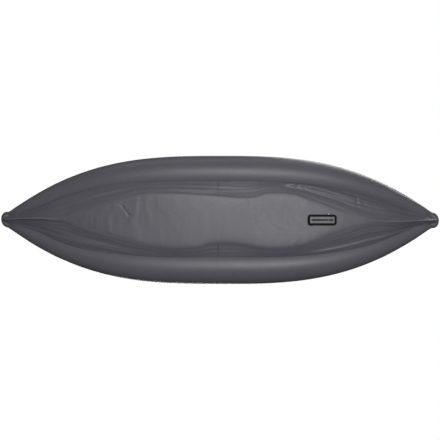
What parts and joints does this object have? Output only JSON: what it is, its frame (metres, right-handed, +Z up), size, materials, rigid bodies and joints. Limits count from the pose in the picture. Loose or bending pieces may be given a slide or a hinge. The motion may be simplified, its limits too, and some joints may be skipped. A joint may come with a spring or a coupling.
{
  "type": "inflatable kayak",
  "caption": "Slim inflatable kayak with round side tubes, a flat air floor with rocker, short end decks, folding seat, foot brace and a slide-in fin box.",
  "frame": {"origin": "on the ground under the middle of the hull", "axes": "+X towards the bow, +Y to port, +Z up"},
  "size_m": [3.17, 0.89, 0.4838],
  "materials": {
    "hull_fabric": "matte",
    "chamber_film": "satin",
    "floor_fabric": "matte",
    "deck_fabric": "matte",
    "moulded_rubber": "matte",
    "black_plastic": "satin",
    "grey_plastic": "satin",
    "webbing": "woven",
    "seat_fabric": "woven",
    "steel": "polished",
    "board": "matte"
  },
  "bodies": {
    "hull": {"bottom_skin": "hull_fabric", "bow_deck": "deck_fabric", "bow_deck_piping": "moulded_rubber", "bow_handle_base": "black_plastic", "bow_keel_strip": "moulded_rubber", "bow_nose_cap": "moulded_rubber", "d_rings": "steel", "fin_box_frame": "black_plastic", "fin_track": "grey_plastic", "floor_air_chamber": "floor_fabric", "floor_valve_body": "black_plastic", "floor_valve_spring": "steel", "foot_track": "black_plastic", "front_seat_straps": "webbing", "port_air_chamber": "chamber_film", "port_handle_base": "black_plastic", "port_tube_sleeve": "hull_fabric", "port_valve_body": "black_plastic", "port_valve_spring": "steel", "rear_seat_straps": "webbing", "ring_patches": "moulded_rubber", "seat_cushion": "seat_fabric", "snap_hooks": "steel", "starboard_air_chamber": "chamber_film", "starboard_handle_base": "black_plastic", "starboard_tube_sleeve": "hull_fabric", "starboard_valve_body": "black_plastic", "starboard_valve_spring": "steel", "stern_deck": "deck_fabric", "stern_deck_piping": "moulded_rubber", "stern_handle_base": "black_plastic", "stern_keel_strip": "moulded_rubber", "stern_nose_cap": "moulded_rubber", "strap_adjusters": "black_plastic", "valve_nuts": "grey_plastic", "valve_seals": "moulded_rubber"},
    "seat_back": {"seat_back": "seat_fabric", "backrest_board": "board"},
    "bow_handle": {"bow_handle_strap": "webbing", "bow_handle_grip": "moulded_rubber"},
    "stern_handle": {"stern_handle_strap": "webbing", "stern_handle_grip": "moulded_rubber"},
    "port_handle": {"port_handle_strap": "webbing", "port_handle_grip": "moulded_rubber"},
    "starboard_handle": {"starboard_handle_strap": "webbing", "starboard_handle_grip": "moulded_rubber"},
    "port_valve_cap": {"port_valve_cap": "black_plastic"},
    "port_valve_plunger": {"port_valve_plunger": "black_plastic"},
    "starboard_valve_cap": {"starboard_valve_cap": "black_plastic"},
    "starboard_valve_plunger": {"starboard_valve_plunger": "black_plastic"},
    "floor_valve_cap": {"floor_valve_cap": "black_plastic"},
    "floor_valve_plunger": {"floor_valve_plunger": "black_plastic"},
    "fin_lock_pin": {"fin_lock_pin": "steel"},
    "foot_brace": {"foot_carriage": "black_plastic", "foot_bar": "black_plastic"},
    "foot_knob": {"foot_knob": "black_plastic"}
  },
  "joints": [
    {"name": "seat_recline", "type": "hinge", "parent": "hull", "child": "seat_back", "pos_m": [-0.182, 0, 0.14025], "axis": [0, 1, 0], "range_deg": [-18, 98], "deforming": ["front_seat_straps", "rear_seat_straps"]},
    {"name": "bow_handle_swing", "type": "hinge", "parent": "hull", "child": "bow_handle", "pos_m": [1.38473, 0, 0.36424], "axis": [0, 1, 0], "range_deg": [0, 150]},
    {"name": "stern_handle_swing", "type": "hinge", "parent": "hull", "child": "stern_handle", "pos_m": [-1.38473, 0, 0.36424], "axis": [0, -1, 0], "range_deg": [0, 150]},
    {"name": "port_handle_swing", "type": "hinge", "parent": "hull", "child": "port_handle", "pos_m": [0.06, 0.37204, 0.29329], "axis": [1, 0, 0], "range_deg": [0, 140]},
    {"name": "starboard_handle_swing", "type": "hinge", "parent": "hull", "child": "starboard_handle", "pos_m": [0.06, -0.37204, 0.29329], "axis": [-1, 0, 0], "range_deg": [0, 140]},
    {"name": "port_cap_hinge", "type": "hinge", "parent": "hull", "child": "port_valve_cap", "pos_m": [-0.40181, 0.25903, 0.3003], "axis": [0, 0.9511, 0.309], "range_deg": [0, 150]},
    {"name": "port_plunger_press", "type": "slide", "parent": "hull", "child": "port_valve_plunger", "axis": [0, 0.309, -0.9511], "range_m": [0, 0.003], "stiffness_N_per_m": 250, "springref_m": -0.002, "deforming": ["port_valve_spring"]},
    {"name": "starboard_cap_hinge", "type": "hinge", "parent": "hull", "child": "starboard_valve_cap", "pos_m": [-0.40181, -0.25903, 0.3003], "axis": [0, 0.9511, -0.309], "range_deg": [0, 150]},
    {"name": "starboard_plunger_press", "type": "slide", "parent": "hull", "child": "starboard_valve_plunger", "axis": [0, -0.309, -0.9511], "range_m": [0, 0.003], "stiffness_N_per_m": 250, "springref_m": -0.002, "deforming": ["starboard_valve_spring"]},
    {"name": "floor_cap_hinge", "type": "hinge", "parent": "hull", "child": "floor_valve_cap", "pos_m": [-0.26605, 0, 0.09206], "axis": [0, 1, 0], "range_deg": [0, 150]},
    {"name": "floor_plunger_press", "type": "slide", "parent": "hull", "child": "floor_valve_plunger", "axis": [-0.019, 0, -0.9998], "range_m": [0, 0.003], "stiffness_N_per_m": 250, "springref_m": -0.002, "deforming": ["floor_valve_spring"]},
    {"name": "fin_pin_pull", "type": "slide", "parent": "hull", "child": "fin_lock_pin", "axis": [0, 1, 0], "range_m": [0, 0.045]},
    {"name": "foot_brace_slide", "type": "slide", "parent": "hull", "child": "foot_brace", "axis": [0.997, 0, 0.0772], "range_m": [-0.078, 0.178]},
    {"name": "foot_knob_turn", "type": "hinge", "parent": "foot_brace", "child": "foot_knob", "pos_m": [0.59459, 0, 0.11806], "axis": [-0.0772, 0, 0.997], "range_deg": [0, 270]}
  ]
}
